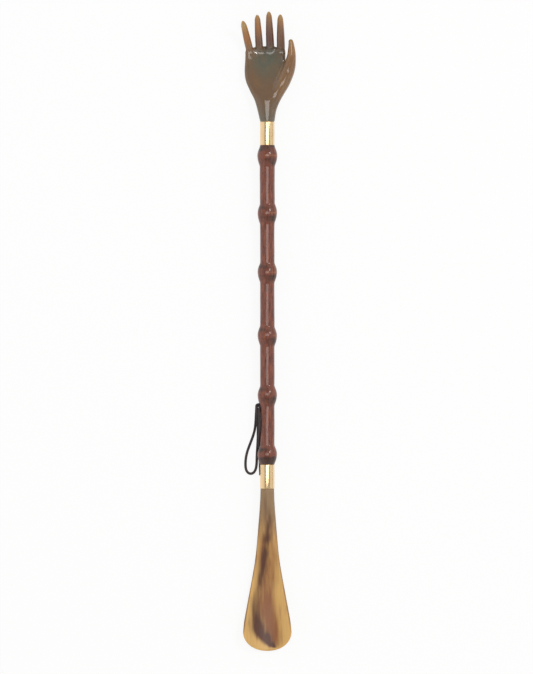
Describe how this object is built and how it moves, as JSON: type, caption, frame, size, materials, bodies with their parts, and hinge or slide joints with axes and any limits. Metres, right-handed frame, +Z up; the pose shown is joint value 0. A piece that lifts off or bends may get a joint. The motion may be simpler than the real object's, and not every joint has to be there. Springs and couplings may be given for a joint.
{
  "type": "back scratcher",
  "caption": "Two-ended back scratcher: a carved horn hand and a horn shoehorn blade on a shaft carved as bamboo, with brass collars and a leather hanging loop.",
  "frame": {"origin": "on the table, under the middle of the overall length and under the shaft axis", "axes": "+X to the right, +Y along the shaft towards the hand, +Z up, out of the palm and of the blade's hollow side"},
  "size_m": [0.0548, 0.64, 0.0279],
  "materials": {
    "dark_horn": "polished",
    "pale_horn": "polished",
    "brass": "polished",
    "stained_wood": "lacquered",
    "steel": "plain",
    "leather": "waxed"
  },
  "bodies": {
    "handle": {"scratcher_hand": "dark_horn", "upper_collar": "brass", "upper_stud": "steel", "shaft": "stained_wood", "lower_stud": "steel", "lower_collar": "brass", "shoehorn_blade": "pale_horn", "lace_root": "leather", "lace_tail": "leather"},
    "hanging_loop": {"lace_loop": "leather"}
  },
  "joints": [
    {"name": "loop_swing", "type": "hinge", "parent": "handle", "child": "hanging_loop", "pos_m": [-0.0108, -0.0744, 0.0075], "axis": [0, 0, -1], "range_deg": [0, 120]}
  ]
}
